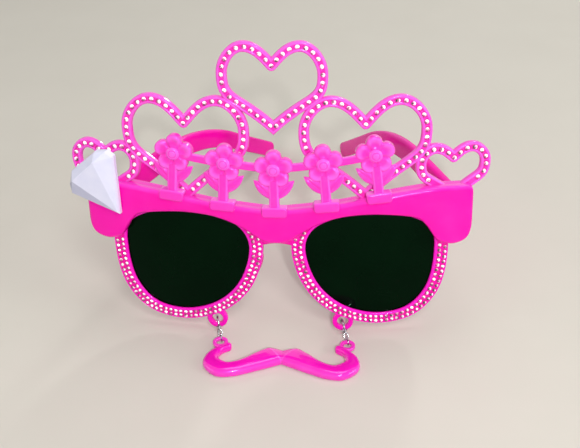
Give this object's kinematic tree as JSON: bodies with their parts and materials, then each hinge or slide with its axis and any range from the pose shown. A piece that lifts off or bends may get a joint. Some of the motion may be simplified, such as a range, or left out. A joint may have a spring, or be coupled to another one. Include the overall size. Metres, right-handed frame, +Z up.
{
  "type": "photo booth sunglasses prop",
  "caption": "Party sunglasses with a heart tiara, flower crest, gem, dark lenses, folding temples and a moustache hung on short chains.",
  "frame": {"origin": "on the floor, under the middle of the standing glasses", "axes": "+Z up, the front and its moustache face -Y, the temples run back along +Y, +X is the right side as seen from the front"},
  "size_m": [0.1612, 0.1734, 0.1184],
  "materials": {
    "pink_plastic": "glossy",
    "deep_pink_plastic": "glossy",
    "dark_lens": "polished",
    "pearl_plastic": "glossy",
    "bright_metal": "polished"
  },
  "bodies": {
    "front": {"front_frame": "pink_plastic", "brow_bar": "deep_pink_plastic", "heart_tiara": "pink_plastic", "flower_crest": "pink_plastic", "right_lens": "dark_lens", "left_lens": "dark_lens", "gem": "pearl_plastic", "right_front_hinge_leaf": "bright_metal", "right_hinge_screw": "bright_metal", "left_front_hinge_leaf": "bright_metal", "left_hinge_screw": "bright_metal"},
    "right_temple_arm": {"right_temple": "pink_plastic", "right_temple_hinge_leaf": "bright_metal"},
    "left_temple_arm": {"left_temple": "pink_plastic", "left_temple_hinge_leaf": "bright_metal"},
    "left_ring": {"left_jump_ring": "bright_metal"},
    "left_link_1": {"left_link_1": "bright_metal"},
    "left_link_2": {"left_link_2": "bright_metal"},
    "left_link_3": {"left_link_3": "bright_metal"},
    "left_link_4": {"left_link_4": "bright_metal"},
    "right_ring": {"right_jump_ring": "bright_metal"},
    "right_link_1": {"right_link_1": "bright_metal"},
    "right_link_2": {"right_link_2": "bright_metal"},
    "right_link_3": {"right_link_3": "bright_metal"},
    "right_link_4": {"right_link_4": "bright_metal"},
    "moustache": {"moustache": "pink_plastic"}
  },
  "joints": [
    {"name": "right_temple_hinge", "type": "hinge", "parent": "front", "child": "right_temple_arm", "pos_m": [0.06557, -0.03511, 0.04732], "axis": [0, 0.1574, 0.9875], "range_deg": [-19, 62]},
    {"name": "left_temple_hinge", "type": "hinge", "parent": "front", "child": "left_temple_arm", "pos_m": [-0.06557, -0.03511, 0.04732], "axis": [0, -0.1574, -0.9875], "range_deg": [-19, 68]},
    {"name": "left_ring_pivot", "type": "hinge", "parent": "front", "child": "left_ring", "pos_m": [-0.02515, -0.05747, 0.00248], "axis": [1, 0, 0], "range_deg": [-45, 150]},
    {"name": "left_link_1_pivot", "type": "hinge", "parent": "left_ring", "child": "left_link_1", "pos_m": [-0.0246, -0.05936, 0.0032], "axis": [-1, 0, 0], "range_deg": [-35, 22]},
    {"name": "left_link_2_pivot", "type": "hinge", "parent": "left_link_1", "child": "left_link_2", "pos_m": [-0.02399, -0.0615, 0.00424], "axis": [1, 0, 0], "range_deg": [-60, 20]},
    {"name": "left_link_3_pivot", "type": "hinge", "parent": "left_link_2", "child": "left_link_3", "pos_m": [-0.02375, -0.06232, 0.00363], "axis": [-1, 0, 0], "range_deg": [-35, 35]},
    {"name": "left_link_4_pivot", "type": "hinge", "parent": "left_link_3", "child": "left_link_4", "pos_m": [-0.02332, -0.06384, 0.00176], "axis": [1, 0, 0], "range_deg": [-20, 60]},
    {"name": "right_ring_pivot", "type": "hinge", "parent": "front", "child": "right_ring", "pos_m": [0.02515, -0.05747, 0.00248], "axis": [1, 0, 0], "range_deg": [-45, 150]},
    {"name": "right_link_1_pivot", "type": "hinge", "parent": "right_ring", "child": "right_link_1", "pos_m": [0.02569, -0.05936, 0.0032], "axis": [-1, 0, 0], "range_deg": [-35, 22]},
    {"name": "right_link_2_pivot", "type": "hinge", "parent": "right_link_1", "child": "right_link_2", "pos_m": [0.0263, -0.0615, 0.00424], "axis": [1, 0, 0], "range_deg": [-60, 20]},
    {"name": "right_link_3_pivot", "type": "hinge", "parent": "right_link_2", "child": "right_link_3", "pos_m": [0.02654, -0.06232, 0.00363], "axis": [-1, 0, 0], "range_deg": [-35, 35]},
    {"name": "right_link_4_pivot", "type": "hinge", "parent": "right_link_3", "child": "right_link_4", "pos_m": [0.02697, -0.06384, 0.00176], "axis": [1, 0, 0], "range_deg": [-20, 60]},
    {"name": "moustache_pivot", "type": "hinge", "parent": "left_link_4", "child": "moustache", "pos_m": [-0.02283, -0.06554, 0.00165], "axis": [-1, 0, 0], "range_deg": [-35, 35]}
  ],
  "couplings": [
    {"joint": "right_ring_pivot", "follows": "left_ring_pivot", "ratio": 1},
    {"joint": "right_link_1_pivot", "follows": "left_link_1_pivot", "ratio": 1},
    {"joint": "right_link_2_pivot", "follows": "left_link_2_pivot", "ratio": 1},
    {"joint": "right_link_3_pivot", "follows": "left_link_3_pivot", "ratio": 1},
    {"joint": "right_link_4_pivot", "follows": "left_link_4_pivot", "ratio": 1}
  ]
}
